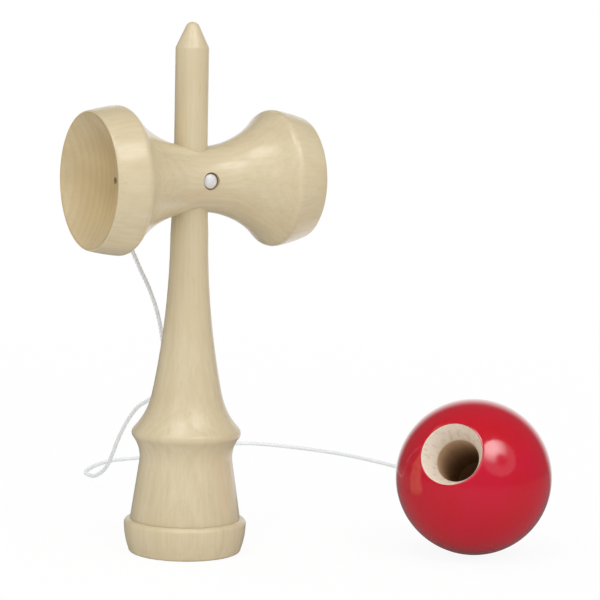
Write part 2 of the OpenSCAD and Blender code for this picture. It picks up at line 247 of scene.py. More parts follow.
class Finishes(bpy.types.PropertyGroup):
    """Colours and gloss of the finishes."""
    pale: colour("Wood", "Pale wood between its growth rings", 213, 199, 166)
    ring: colour("Growth ring", "Darker line of a growth ring", 194, 173, 132)
    fibre: colour("Fibre", "Streaks along the grain", 202, 184, 146)
    fleck: colour("Fleck", "Short dark flecks along the grain", 186, 160, 118)
    end_grain: colour("End grain", "Wood that is cut across the grain", 206, 178, 120)
    end_ring: colour("End ring", "Growth rings where the wood is cut across", 172, 140, 92)
    # Painted shade: this colour darkens the pin's counterbore and the lathe's centre mark, where shade falls
    recess_shade: colour("Drilled edge", "Burnt wood in the drilled holes", 128, 104, 74)
    wood_rough: share("Wood roughness", "Roughness of the satin wood", 0.42)
    wood_coat: share("Wood coat", "Weight of the thin lacquer on the wood", 0.8)
    handle_coat: share("Handle coat", "Roughness of the thin lacquer on the handle", 0.27)
    handle_end: share("Handle end grain", "How much end grain shows in the base cup", 0.2)
    cross_coat: share("Cross-piece coat", "Roughness of the thin lacquer on the cross-piece", 0.17)
    cross_end: share("Cross-piece end grain", "How much end grain shows in the side cups", 0.78)
    crimson: colour("Lacquer", "Red lacquer of the ball", 195, 5, 42)
    warm_red: colour("Warm lacquer", "Warmer patches of the red lacquer", 192, 7, 28)
    gloss: share("Lacquer roughness", "Roughness of the lacquer", 0.13)
    bare: colour("Bare wood", "Unpainted wood in the ball's bore", 226, 213, 196)
    bare_dark: colour("Bare wood, dark", "Pores of the unpainted wood", 186, 162, 132)
    bore: colour("Bore", "Raw wood at the top of the ball's bore", 214, 176, 134)
    # Painted shade: the colour that the ball's bore is darkened to towards its bottom
    bore_shade: colour("Deep bore", "Dark wood at the bottom of the ball's bore", 132, 96, 60)
    cotton: colour("Cotton", "White string", 243, 245, 244)
    cotton_shade: colour("Cotton shade", "Fibres of the string in shade", 212, 216, 216)
    steel: colour("Steel", "Bright pin", 242, 242, 242)
    bead: colour("Bead", "Plain wooden bead", 206, 184, 142)


class StageSettings(bpy.types.PropertyGroup):
    """Camera, lights and floor."""
    camera_x: coordinate("Camera X", "Place of the camera along X", -410.7 * MM)
    camera_y: coordinate("Camera Y", "Place of the camera along Y", -800.8 * MM)
    camera_z: coordinate("Camera height", "Height of the camera", 190.05 * MM)
    heading: angle("Heading", "Direction of view, from +Y towards +X", 29.625)
    pitch: angle("Pitch", "How far the camera looks down", 6.382)
    roll: angle("Roll", "How far the camera is turned about its view", 1.187)
    backdrop: angle("Backdrop", "Direction of the backdrop's middle, from +Y towards +X", 35)
    backdrop_edge: share("Backdrop edge", "Cosine of the angle from its middle where the backdrop ends", 0.76)
    lens: level("Lens", "Focal length on the camera's sensor, in millimetres", 156.0)
    sensor: level("Sensor", "Width of the camera's sensor, in millimetres", 36.0)
    floor_size: length("Floor size", "Width of the floor", 12.0)
    floor: colour("Floor", "Pale floor", 246, 246, 246)
    floor_white: share("Floor white", "Share of plain white in what is seen of the floor by the toy", 0.92)
    floor_near: length("Floor near", "Distance from the toy where the floor starts to turn white", 0.2)
    floor_far: length("Floor far", "Distance from the toy where the floor is wholly white", 0.7)
    ambient: level("Ambient", "Strength of the light from all round", 0.7)
    room: level("Room", "Brightness of the room in front of the toy where it is mirrored", 0.1)
    key_way: facing("Key direction", "Direction of the umbrella lamp", (0.159, -0.822, 0.547))
    key_strength: level("Key", "Strength of the umbrella lamp where its bulb shines", 3.65)
    key_size: length("Key size", "Width of the umbrella lamp", 2.5)
    key_distance: length("Key distance", "Distance of the umbrella lamp", 2.65)
    top_way: facing("Top direction", "Direction of the soft box above", (-0.38, -0.32, 0.87))
    top_strength: level("Top", "Strength of the soft box's face above", 3.6)
    top_size: length("Top size", "Width of the soft box above", 1.1)
    top_distance: length("Top distance", "Distance of the soft box above", 2.55)
    fill_way: facing("Fill direction", "Direction of the soft lamp on the left", (-0.68, -0.54, 0.5))
    fill_strength: level("Fill", "Strength of the soft lamp's face on the left", 0.75)
    fill_size: length("Fill size", "Width of the soft lamp on the left", 2.4)
    fill_distance: length("Fill distance", "Distance of the soft lamp on the left", 2.7)


class Pen:
    """Draws the outline of a turned piece, as radius and height, and turns it about its axis."""

    def __init__(self, radius, height):
        self.bm = bmesh.new()
        self.tip = self.bm.verts.new((radius, 0.0, height))

    def line(self, radius, height):
        """A straight line to a point."""
        made = bmesh.ops.extrude_vert_indiv(self.bm, verts=[self.tip])
        self.tip = made["verts"][0]
        self.tip.co = (radius, 0.0, height)

    def sweep(self, centre, turned, steps):
        """An arc about a centre, anticlockwise for a positive angle."""
        made = bmesh.ops.spin(self.bm, geom=[self.tip], cent=(centre[0], 0.0, centre[1]),
                              axis=(0.0, -1.0, 0.0), angle=turned, steps=steps)
        self.tip = [v for v in made["geom_last"] if isinstance(v, bmesh.types.BMVert)][0]

    def arc(self, centre, end, steps):
        """An arc about a centre, the short way round to the direction of a point."""
        start = atan2(self.tip.co.z - centre[1], self.tip.co.x - centre[0])
        stop = atan2(end[1] - centre[1], end[0] - centre[0])
        self.sweep(centre, (stop - start + pi) % (2 * pi) - pi, steps)

    def turned(self, steps):
        """The outline turned once about its axis, as a closed shell."""
        bmesh.ops.spin(self.bm, geom=self.bm.verts[:] + self.bm.edges[:], cent=(0, 0, 0), axis=(0, 0, 1),
                       angle=2 * pi, steps=steps, use_merge=True)
        bmesh.ops.remove_doubles(self.bm, verts=self.bm.verts[:], dist=MERGE)
        bmesh.ops.recalc_face_normals(self.bm, faces=self.bm.faces[:])
        return self.bm


def towards(direction):
    """A point on the unit circle at an angle."""
    return Vector((cos(direction), sin(direction)))


def direction_of(vector):
    """The angle of a vector in the outline's plane."""
    return atan2(vector[1], vector[0])


def dish_radius(mouth, depth):
    """Radius of the sphere that cuts a dish of this mouth radius and depth."""
    return (mouth * mouth + depth * depth) / (2 * depth)


def soften(bm, width, near=None, least=radians(22)):
    """Rounds the sharp edges, or only those that a test picks by their middle."""
    sharp = []
    for edge in bm.edges:
        middle = (edge.verts[0].co + edge.verts[1].co) / 2
        if edge.is_manifold and edge.calc_face_angle() > least and (near is None or near(middle)):
            sharp.append(edge)
    bmesh.ops.bevel(bm, geom=sharp, offset=width, offset_type="OFFSET", affect="EDGES", segments=3,
                    profile=0.5, material=-1, clamp_overlap=True)
    bmesh.ops.remove_doubles(bm, verts=bm.verts[:], dist=MERGE)
    bmesh.ops.recalc_face_normals(bm, faces=bm.faces[:])


def new_object(bm, name):
    """An object of its own from a bmesh."""
    mesh = bpy.data.meshes.new(name)
    bm.to_mesh(mesh)
    bm.free()
    obj = bpy.data.objects.new(name, mesh)
    bpy.context.scene.collection.objects.link(obj)
    return obj


def rod(start, end, start_r, end_r, sides=64):
    """A round cutter from one point to another."""
    along = Vector(end) - Vector(start)
    turn = along.to_track_quat("Z", "Y").to_matrix().to_4x4()
    bm = bmesh.new()
    bmesh.ops.create_cone(bm, cap_ends=True, segments=sides, radius1=start_r, radius2=end_r,
                          depth=along.length,
                          matrix=Matrix.Translation((Vector(start) + Vector(end)) / 2) @ turn)
    return bm


def cut_out(obj, cutters):
    """Takes the cutters out of a piece."""
    tools = [new_object(bm, "cutter") for bm in cutters]
    for tool in tools:
        modifier = obj.modifiers.new("cut", "BOOLEAN")
        modifier.operation = "DIFFERENCE"
        modifier.solver = "EXACT"
        modifier.object = tool
    shaped = obj.evaluated_get(bpy.context.evaluated_depsgraph_get())
    cut_mesh = bpy.data.meshes.new_from_object(shaped)
    bm = bmesh.new()
    bm.from_mesh(cut_mesh)
    bmesh.ops.remove_doubles(bm, verts=bm.verts[:], dist=MERGE)
    bm.to_mesh(cut_mesh)
    bm.free()
    obj.modifiers.clear()
    whole = obj.data
    obj.data = cut_mesh
    bpy.data.meshes.remove(whole)
    for tool in tools:
        bpy.data.meshes.remove(tool.data)
    if not cut_mesh.polygons:
        raise RuntimeError(f"cutting {obj.name} left nothing of it")


def mark_end_grain(obj, centre, grain):
    """Notes on each point inside a cup how far it is cut across the grain."""
    marks = obj.data.attributes.new("end_grain", "FLOAT", "POINT")
    for vert, mark in zip(obj.data.vertices, marks.data):
        outwards = vert.co - centre
        outwards -= outwards.dot(grain) * grain
        mark.value = abs(vert.normal.dot(grain)) if vert.normal.dot(outwards) < 0 else 0.0


def dress(obj, finishes, sharp=radians(40)):
    """Smooth shading with its sharp edges kept, and the finishes in the piece's material slots."""
    obj.data.shade_smooth()
    obj.data.set_sharp_from_angle(angle=sharp)
    obj.data.materials.clear()
    for finish in finishes:
        obj.data.materials.append(finish)


def stand_for(obj, body, *nodes):
    """Makes a piece ride on its body in place of the solids that it stands for."""
    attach(obj, body)
    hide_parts(*nodes)


class Nodes:
    """A node tree, with short calls that add and join its nodes."""

    def __init__(self, tree):
        self.tree = tree

    def add(self, kind, values=None, **settings):
        """Adds a node, with a value or a link for each of its inputs."""
        node = self.tree.nodes.new(kind)
        for key, value in settings.items():
            setattr(node, key, value)
        for key, value in (values or {}).items():
            self.put(node.inputs[key], value)
        return node

    def put(self, socket, value):
        """Links a socket, or gives it a value."""
        if isinstance(value, bpy.types.NodeSocket):
            self.tree.links.new(value, socket)
        elif isinstance(value, (int, float)):
            socket.default_value = value
        else:
            items = list(value)
            socket.default_value = items + [1.0] * (len(socket.default_value) - len(items))

    def mapped(self, vector, location=(0, 0, 0), rotation=(0, 0, 0), scale=(1, 1, 1)):
        """Coordinates that are turned, moved or stretched."""
        return self.add("ShaderNodeMapping", {"Vector": vector, "Location": location, "Rotation": rotation,
                                              "Scale": scale}).outputs["Vector"]

    def noise(self, vector, scale, detail=2.0, roughness=0.5):
        """Soft noise from 0 to 1."""
        return self.add("ShaderNodeTexNoise", {"Vector": vector, "Scale": scale, "Detail": detail,
                                               "Roughness": roughness}).outputs["Fac"]

    def between(self, value, low, high, to_low=0.0, to_high=1.0, slope="LINEAR"):
        """A value from one range to another, held at its ends."""
        return self.add("ShaderNodeMapRange", {"Value": value, "From Min": low, "From Max": high,
                                               "To Min": to_low, "To Max": to_high},
                        interpolation_type=slope).outputs["Result"]

    def maths(self, operation, first, second):
        """One step of arithmetic."""
        return self.add("ShaderNodeMath", {0: first, 1: second}, operation=operation).outputs["Value"]

    def distance(self, vector, spot):
        """How far a vector is from a spot."""
        return self.add("ShaderNodeVectorMath", {0: vector, 1: spot}, operation="DISTANCE").outputs["Value"]

    def mix(self, factor, first, second):
        """A colour between two colours."""
        return self.add("ShaderNodeMix", {"Factor": factor, 6: first, 7: second}, data_type="RGBA").outputs[2]

    def attribute(self, name):
        """A number that the mesh holds at each point."""
        return self.add("ShaderNodeAttribute", attribute_name=name).outputs["Fac"]


class Finish(Nodes):
    """A material with one shader."""

    def __init__(self, name):
        self.material = bpy.data.materials.new(name)
        self.material.use_nodes = True
        super().__init__(self.material.node_tree)
        self.shader = self.tree.nodes["Principled BSDF"]
        self.object_place = self.add("ShaderNodeTexCoord").outputs["Object"]

    def shade(self, **values):
        """Sets the shader's own sockets, with _ for the spaces in their names."""
        for key, value in values.items():
            self.put(self.shader.inputs[key.replace("_", " ")], value)

    def bump(self, height, distance):
        """A relief of that depth in metres."""
        relief = self.add("ShaderNodeBump", {"Height": height, "Distance": distance, "Strength": 1.0})
        self.shade(Normal=relief.outputs["Normal"])


# Where the pith of the tree ran, in coordinates whose Z is along each piece's grain
HANDLE_PITH = 0.034, 0.052, 0.0
CROSS_PITH = CROSS_Z, 0.06, 0.0


def pale_wood(name, looks, pith, coat_rough, end_share, turn=(0, 0, 0), shaded_recesses=()):
    """Satin pale wood: fibres along the grain, faint growth rings, and painted shade in its recesses."""
    finish = Finish(name)
    grain = finish.mapped(finish.object_place, location=pith, rotation=turn)
    rings = finish.add("ShaderNodeTexWave", {"Vector": grain, "Scale": 120.0, "Distortion": 7.0,
                                             "Detail": 3.0, "Detail Scale": 0.12},
                       wave_type="RINGS", rings_direction="Z", wave_profile="SAW").outputs["Fac"]
    late_wood = finish.between(rings, 0.35, 0.95)
    streaks = finish.noise(finish.mapped(grain, scale=(900, 900, 16)), 1.0, 4.0, 0.62)
    stripes = finish.noise(finish.mapped(grain, scale=(240, 240, 7)), 1.0, 2.0)
    flecks = finish.between(finish.noise(finish.mapped(grain, scale=(1500, 1500, 170)), 1.0, 1.0),
                            0.68, 0.8)
    cloud = finish.noise(finish.mapped(grain, scale=(60, 60, 38)), 1.0, 2.0)
    tone = finish.mix(finish.maths("MULTIPLY", late_wood, 0.14), looks.pale, looks.ring)
    tone = finish.mix(finish.between(stripes, 0.4, 0.7, 0.0, 0.45), tone, looks.fibre)
    tone = finish.mix(finish.between(streaks, 0.4, 0.75, 0.0, 0.4), tone, looks.ring)
    tone = finish.mix(finish.between(cloud, 0.4, 0.7, 0.0, 0.45), tone, looks.fibre)
    tone = finish.mix(finish.maths("MULTIPLY", flecks, 0.4), tone, looks.fleck)
    cut_across = finish.between(finish.attribute("end_grain"), 0.5, 0.98, 0.0, end_share)
    across = finish.mix(finish.between(cloud, 0.35, 0.7, 0.0, 0.6), looks.end_grain, looks.end_ring)
    across = finish.mix(finish.maths("MULTIPLY", late_wood, 0.35), across, looks.end_ring)
    tone = finish.mix(cut_across, tone, across)
    # Painted shade, darkest near the middle of each recess
    for spot, near, far in shaded_recesses:
        dark = finish.between(finish.distance(finish.object_place, spot), far, near)
        tone = finish.mix(dark, tone, looks.recess_shade)
    rough = finish.between(streaks, 0.3, 0.7, looks.wood_rough - 0.05, looks.wood_rough + 0.08)
    finish.shade(Base_Color=tone, Roughness=rough, Coat_Weight=looks.wood_coat, Coat_Roughness=coat_rough)
    finish.bump(finish.maths("ADD", streaks, flecks), -0.012 * MM)
    return finish.material


def red_lacquer(looks):
    """Glossy red lacquer with a faint orange peel and warmer patches."""
    finish = Finish("red lacquer")
    cloud = finish.noise(finish.object_place, 38.0, 2.0)
    peel = finish.noise(finish.object_place, 520.0, 1.0)
    finish.shade(Base_Color=finish.mix(finish.between(cloud, 0.35, 0.65), looks.crimson, looks.warm_red),
                 Roughness=finish.between(peel, 0.3, 0.7, looks.gloss - 0.02, looks.gloss + 0.03),
                 Specular_IOR_Level=0.9, Coat_Weight=0.9, Coat_Roughness=0.09)
    finish.bump(peel, 0.004 * MM)
    return finish.material


def bare_wood(looks, sizes):
    """Unpainted turned wood of the ball's bevel, raw wood in its bore, and painted shade that darkens the
    bore towards its bottom.
    """
    finish = Finish("bare wood")
    turn = BORE_AXIS.to_track_quat("Z", "Y").to_matrix().transposed()
    along_bore = finish.mapped(finish.mapped(finish.object_place, location=-BALL_C), rotation=turn.to_euler())
    pores = finish.noise(finish.mapped(along_bore, scale=(700, 700, 220)), 1.0, 3.0)
    turning = finish.add("ShaderNodeTexWave", {"Vector": along_bore, "Scale": 420.0, "Distortion": 1.6},
                         bands_direction="Z").outputs["Fac"]
    top = bore_places(sizes)[1]
    height = finish.add("ShaderNodeSeparateXYZ", {"Vector": along_bore}).outputs["Z"]
    entry = finish.between(height, top + 0.3 * MM, top - 1.0 * MM)
    # Painted shade, darker the deeper the bore goes
    depth_shade = finish.between(height, top, top - 2.4 * sizes.bore_r)
    tone = finish.mix(finish.between(pores, 0.5, 0.78, 0.0, 0.6), looks.bare, looks.bare_dark)
    tone = finish.mix(finish.maths("MULTIPLY", entry, 0.75), tone, looks.bore)
    tone = finish.mix(depth_shade, tone, looks.bore_shade)
    finish.shade(Base_Color=tone, Roughness=finish.between(pores, 0.3, 0.7, 0.5, 0.7))
    finish.bump(finish.maths("ADD", finish.maths("MULTIPLY", turning, 0.5), pores), 0.02 * MM)
    return finish.material


def bead_wood(looks):
    """Plain wood of the small bead."""
    finish = Finish("bead wood")
    streaks = finish.noise(finish.mapped(finish.object_place, scale=(1800, 1800, 300)), 1.0, 3.0)
    finish.shade(Base_Color=finish.mix(finish.between(streaks, 0.35, 0.7), looks.bead, looks.fleck),
                 Roughness=finish.between(streaks, 0.3, 0.7, 0.5, 0.62))
    finish.bump(streaks, 0.02 * MM)
    return finish.material


def white_cotton(looks):
    """Twisted cotton, with fibres that follow the strands."""
    finish = Finish("white cotton")
    along = finish.add("ShaderNodeUVMap", uv_map="strands").outputs["UV"]
    fibres = finish.noise(finish.mapped(along, scale=(60, 420, 1)), 1.0, 3.0, 0.65)
    patches = finish.noise(finish.object_place, 240.0)
    tone = finish.mix(finish.between(fibres, 0.38, 0.72), looks.cotton, looks.cotton_shade)
    tone = finish.mix(finish.between(patches, 0.45, 0.75, 0.0, 0.35), tone, looks.cotton_shade)
    finish.shade(Base_Color=tone, Roughness=finish.between(fibres, 0.3, 0.7, 0.85, 0.95),
                 Sheen_Weight=0.25, Sheen_Roughness=0.5)
    finish.bump(fibres, 0.05 * MM)
    return finish.material


def bright_steel(looks):
    """Bright pin with faint marks of its stamping."""
    finish = Finish("bright steel")
    marks = finish.noise(finish.mapped(finish.object_place, scale=(900, 900, 2600)), 1.0, 3.0)
    tone = finish.mix(finish.between(marks, 0.3, 0.8, 0.0, 0.25), looks.steel, looks.bare_dark)
    finish.shade(Base_Color=tone, Metallic=0.25, Roughness=finish.between(marks, 0.3, 0.7, 0.3, 0.4))
    finish.bump(marks, 0.01 * MM)
    return finish.material


# The string's route from the handle down to the table and round to the ball, in millimetres,
# and how far from the ball it is in line with the bore
STRING_ROUTE = [
    (0, 14, 130.7), (-2, 19, 127.5), (-6, 24.5, 118.5), (-9, 28.5, 108), (-5, 30, 98.5), (0, 32, 90.5),
    (5, 35, 81.5), (9.5, 39.5, 72), (13.2, 45, 62), (14.8, 51, 54), (15, 57, 46), (12.5, 64.5, 41),
    (11.5, 71.5, 34.5), (12, 80, 26.5), (14.5, 90, 19), (17.8, 102, 12), (20.5, 113, 7.5),
    (23.5, 125, 4), (27, 137, 2), (30.5, 148.5, 0.8), (34.5, 155, 0.8), (41.5, 162.5, 0.8),
    (53, 170.5, 0.8), (68.5, 172.5, 0.8), (91, 178, 0.8), (111, 186, 0.8), (123, 188, 0.8),
    (133, 180, 0.8), (143, 164, 0.8), (150.5, 146, 0.8), (154.5, 126, 0.8), (156.5, 102, 0.8),
    (156, 74, 0.8), (153.5, 46, 0.8), (149, 19, 0.8), (142, -2, 1), (131, -14.5, 4.2)]
STRING_LEAD = 9.0


def smooth_route(points, lowest, per_span=10):
    """A smooth curve through points, which goes no lower than it may."""
    ends = [2 * points[0] - points[1]] + points + [2 * points[-1] - points[-2]]
    curve = []
    for a, b, c, d in zip(ends, ends[1:], ends[2:], ends[3:]):
        for step in range(per_span):
            t = step / per_span
            spot = (2 * b + (c - a) * t + (2 * a - 5 * b + 4 * c - d) * t * t
                    + (3 * b - a - 3 * c + d) * t ** 3) / 2
            spot.z = max(spot.z, lowest)
            curve.append(spot)
    return curve + [points[-1].copy()]


def route_length(route):
    """Length of a route through its points."""
    return sum((b - a).length for a, b in zip(route, route[1:]))


def string_route(sizes):
    """The whole route of the free string, in metres."""
    anchor = Vector((0, ANCHOR_HIGH.y, CROSS_Z))
    leave_ball = BALL_C - BALL_R * BORE_AXIS
    lead = leave_ball - STRING_LEAD * MM * BORE_AXIS
    points = [anchor] + [Vector(point) * MM for point in STRING_ROUTE] + [lead, leave_ball]
    return smooth_route(points, sizes.diameter / 2)


def frames_along(route, steps):
    """Evenly spaced places along a route, each with two directions square to it."""
    gaps = [(b - a).length for a, b in zip(route, route[1:])]
    total = sum(gaps)
    frames = []
    side = None
    span, done = 0, 0.0
    for step in range(steps + 1):
        want = total * step / steps
        while span < len(gaps) - 1 and done + gaps[span] < want:
            done += gaps[span]
            span += 1
        a, b = route[span], route[span + 1]
        spot = a.lerp(b, min((want - done) / gaps[span], 1.0))
        before, after = route[max(span - 1, 0)], route[min(span + 2, len(route) - 1)]
        way = (after - before).normalized()
        side = way.orthogonal() if side is None else side
        side = (side - side.dot(way) * way).normalized()
        frames.append((spot, side, way.cross(side)))
    return frames


class Strand:
    """A straight twisted string that is bent to a route."""

    def __init__(self, sizes):
        self.sizes = sizes

    def straight(self, total):
        """A lobed ring that is screwed up along Z, with a map of its strands."""
        sizes = self.sizes
        steps = ceil(total / sizes.ring_step)
        bm = bmesh.new()
        ring = bmesh.ops.create_circle(bm, segments=sizes.sides, radius=sizes.diameter / 2)["verts"]
        for vert in ring:
            lobe = abs(cos(direction_of(vert.co) * sizes.plies / 2))
            vert.co *= 1 - sizes.valley * (1 - lobe)
        bmesh.ops.spin(bm, geom=bm.verts[:] + bm.edges[:], cent=(0, 0, 0), axis=(0, 0, 1),
                       dvec=(0, 0, total / steps), angle=2 * pi * total / sizes.lay, steps=steps)
        self.map_strands(bm)
        rims = [edge for edge in bm.edges if edge.is_boundary]
        bmesh.ops.holes_fill(bm, edges=rims, sides=0)
        bmesh.ops.recalc_face_normals(bm, faces=bm.faces[:])
        return bm, steps

    def map_strands(self, bm):
        """Lays out the strands: across them in shares of a turn, and along them in metres."""
        layer = bm.loops.layers.uv.new("strands")
        for face in bm.faces:
            turns = []
            for loop in face.loops:
                spot = loop.vert.co
                turns.append((direction_of(spot) / (2 * pi) - spot.z / self.sizes.lay) % 1.0)
            wraps = max(turns) - min(turns) > 0.5
            for loop, turn in zip(face.loops, turns):
                loop[layer].uv = (turn + 1.0 if wraps and turn < 0.5 else turn, loop.vert.co.z)

    def along(self, route):
        """The string bent to a route."""
        total = route_length(route)
        bm, steps = self.straight(total)
        frames = frames_along(route, steps)
        for vert in bm.verts:
            spot, side, rise = frames[round(vert.co.z / total * steps)]
            vert.co = spot + vert.co.x * side + vert.co.y * rise
        bmesh.ops.recalc_face_normals(bm, faces=bm.faces[:])
        return bm


def knot_route(start, way, sizes):
    """A stopper knot: turns of string round a core, from one end of the knot to the other."""
    tuck = sizes.diameter / 2
    per_turn = 12
    steps = round(sizes.knot_turns * per_turn)
    points = [Vector((0, 0, 0))]
    for step in range(steps + 1):
        rise = tuck + (sizes.knot_length - 2 * tuck) * step / steps
        points.append(Vector((*((sizes.knot_r - tuck) * towards(2 * pi * step / per_turn)), rise)))
    points.append(Vector((0, 0, sizes.knot_length)))
    turn = way.to_track_quat("Z", "Y")
    return smooth_route([start + turn @ point for point in points], 0.0, 4)


def handle_seat(handle, cross):
    """Half the length of the cross-piece's seat on the handle, and its radius at its foot."""
    return cross.waist_r + handle.seat_overrun, handle.spike_r + handle.seat_taper


def draw_handle(sizes, cross):
    """The handle's outline, from the middle of the base cup up to the tip."""
    foot_in = sizes.foot_r - sizes.foot_edge
    mouth = foot_in - sizes.base_lip
    overhang = sizes.ring_r - sizes.foot_r
    flank_h = sizes.ring_z - sizes.foot_edge
    flank_r = (overhang ** 2 + flank_h ** 2) / (2 * overhang)
    ring_c = Vector((sizes.ring_r - sizes.ring_edge, sizes.ring_z))
    ledge_start = ring_c + sizes.ring_edge * towards(pi / 2 - sizes.ledge_angle)
    body_r = sizes.ring_r - sizes.ledge_w
    ledge_end = Vector((body_r, ledge_start.y + (ledge_start.x - body_r) * tan(sizes.ledge_angle)))

    nose_c = Vector((sizes.neck_r + sizes.collar_overhang - sizes.collar_nose, sizes.collar_z))
    neck_in = nose_c.x - sizes.neck_r
    neck_rise = sizes.collar_z - sizes.neck_z
    neck_cove = (neck_in ** 2 + neck_rise ** 2 - sizes.collar_nose ** 2) / (2 * (sizes.collar_nose + neck_in))
    neck_c = Vector((sizes.neck_r + neck_cove, sizes.neck_z))
    body = neck_c - ledge_end
    body_slope = direction_of(body) + asin(neck_cove / body.length)

    flare_c = nose_c + (sizes.collar_nose + sizes.flare_cove) * towards(sizes.flare_angle)
    seat_half, seat_r = handle_seat(sizes, cross)
    grip_r = seat_r + sizes.grip_step
    grip_z = CROSS_Z - seat_half - sizes.grip_land
    flare_in = flare_c.x - grip_r
    flare_rise = grip_z - flare_c.y
    flare_r = (flare_in ** 2 + flare_rise ** 2 - sizes.flare_cove ** 2) / (2 * (flare_in - sizes.flare_cove))
    grip_c = Vector((grip_r + flare_r, grip_z))
    tip_c = Vector((0, sizes.height - sizes.tip_r))
    point_start = tip_c + sizes.tip_r * towards(sizes.point_angle)
    spike_top = point_start.y - (sizes.spike_r - point_start.x) / tan(sizes.point_angle)

    pen = Pen(0, sizes.base_cup)
    pen.arc((0, sizes.base_cup - dish_radius(mouth, sizes.base_cup)), (mouth, 0), 16)
    pen.line(foot_in, 0)
    pen.arc((foot_in, sizes.foot_edge), (sizes.foot_r, sizes.foot_edge), 6)
    pen.arc((sizes.ring_r - flank_r, sizes.ring_z), (sizes.ring_r, sizes.ring_z), 8)
    pen.arc(ring_c, ledge_start, 6)
    pen.line(*(ledge_end + sizes.groove_r * towards(-sizes.ledge_angle)))
    pen.sweep(ledge_end, body_slope + sizes.ledge_angle - 2 * pi, 12)
    pen.line(*(neck_c + neck_cove * towards(body_slope + pi / 2)))
    pen.arc(neck_c, nose_c, 14)
    pen.arc(nose_c, flare_c, 12)
    pen.arc(flare_c, flare_c + flare_c - grip_c, 14)
    pen.arc(grip_c, (grip_r, grip_z), 28)
    pen.line(seat_r, CROSS_Z - seat_half)
    pen.line(sizes.spike_r, CROSS_Z + seat_half)
    pen.line(sizes.spike_r, spike_top)
    pen.line(*point_start)
    pen.arc(tip_c, (0, sizes.height), 10)
    bm = pen.turned(sizes.steps)

    def in_groove(spot):
        return abs(spot.z - ledge_end.y) < 2 * sizes.groove_r

    soften(bm, sizes.groove_r / 6, in_groove, radians(35))
    soften(bm, sizes.edge, lambda spot: not in_groove(spot))
    return bm


def arm(sizes, shoulder, ridge, band, rim, side):
    """Centres and ends of the arcs from the waist to a rim, as radius and place along the axis."""
    rise = ridge - sizes.waist_r
    cove_r = (shoulder ** 2 + rise ** 2) / (2 * rise) - sizes.shoulder_edge
    cove_c = Vector((sizes.waist_r + cove_r, 0))
    ridge_c = Vector((ridge - sizes.shoulder_edge, shoulder))
    rim_end = Vector((rim, shoulder + band))
    reach = rim_end - ridge_c
    inner = sizes.band_r - sizes.shoulder_edge
    along = (inner ** 2 - sizes.band_r ** 2 + reach.length_squared) / (2 * reach.length)
    unit = reach.normalized()
    band_c = ridge_c + along * unit + sqrt(inner ** 2 - along ** 2) * Vector((-unit.y, unit.x))
    cove_end = cove_c + cove_r * (ridge_c - cove_c).normalized()
    ridge_end = band_c + sizes.band_r * (ridge_c - band_c).normalized()

    def placed(spot):
        return Vector((spot.x, sizes.waist_x + side * spot.y))

    waist = Vector((sizes.waist_r, 0))
    return [placed(spot) for spot in (waist, cove_c, cove_end, ridge_c, ridge_end, band_c, rim_end)]


def draw_cross(sizes):
    """The cross-piece's outline, from the middle of the big cup to the middle of the small one."""
    big_band = sizes.waist_x - sizes.big_shoulder - CROSS_LOW.x
    small_band = CROSS_HIGH.x - sizes.waist_x - sizes.small_shoulder
    big = arm(sizes, sizes.big_shoulder, sizes.big_rim_r + sizes.big_swell, big_band, sizes.big_rim_r, -1)
    small = arm(sizes, sizes.small_shoulder, sizes.small_rim_r + sizes.small_swell, small_band,
                sizes.small_rim_r, 1)
    waist, cove_c, cove_end, ridge_c, ridge_end, band_c, rim = big
    mouth = sizes.big_rim_r - sizes.lip
    dish = dish_radius(mouth, sizes.big_cup)
    dish_c = Vector((0, CROSS_LOW.x + sizes.big_cup - dish))
    pen = Pen(0, dish_c.y + dish + sizes.mark_depth)
    pen.line(sizes.mark_r, dish_c.y + sqrt(dish ** 2 - sizes.mark_r ** 2))
    pen.arc(dish_c, (mouth, CROSS_LOW.x), 26)
    pen.line(*rim)
    pen.arc(band_c, ridge_end, 10)
    pen.arc(ridge_c, cove_end, 12)
    pen.arc(cove_c, waist, 30)
    waist, cove_c, cove_end, ridge_c, ridge_end, band_c, rim = small
    pen.arc(cove_c, cove_end, 30)
    pen.arc(ridge_c, ridge_end, 12)
    pen.arc(band_c, rim, 10)
    mouth = sizes.small_rim_r - sizes.lip
    dish = dish_radius(mouth, sizes.small_cup)
    pen.line(mouth, CROSS_HIGH.x)
    pen.arc((0, CROSS_HIGH.x - sizes.small_cup + dish), (0, CROSS_HIGH.x - sizes.small_cup), 24)
    bm = pen.turned(sizes.steps)
    mark_edge = 2 * sizes.mark_r
    soften(bm, sizes.edge / 3, lambda spot: spot.xy.length < mark_edge)
    soften(bm, sizes.edge, lambda spot: spot.xy.length > mark_edge)
    placed = Matrix.Translation((0, 0, CROSS_Z)) @ Matrix.Rotation(pi / 2, 4, "Y")
    bmesh.ops.transform(bm, matrix=placed, verts=bm.verts[:])
    return bm


def bore_places(sizes):
    """Places along the bore from the ball's centre: mouth, wall's top, wall's end and taper's end."""
    mouth = sqrt(sizes.radius ** 2 - sizes.bevel_r ** 2)
    top = mouth - sizes.bevel_d
    end = top - sizes.bore_length
    return mouth, top, end, end - (sizes.bore_r - sizes.string_hole_r) / tan(sizes.taper)


def bead_place(sizes):
    """Place of the bead along the bore, and half its length."""
    end = bore_places(sizes)[2]
    seat = end - sizes.bore_r / tan(sizes.taper) + (sizes.bead_r + sizes.bead_gap) / sin(sizes.taper)
    return seat, sqrt(sizes.bead_r ** 2 - sizes.bead_flat_r ** 2)


def to_ball(bm):
    """Moves a shape that was made about the origin to the ball, with its axis along the bore."""
    turn = BORE_AXIS.to_track_quat("Z", "Y").to_matrix().to_4x4()
    bmesh.ops.transform(bm, matrix=Matrix.Translation(BALL_C) @ turn, verts=bm.verts[:])


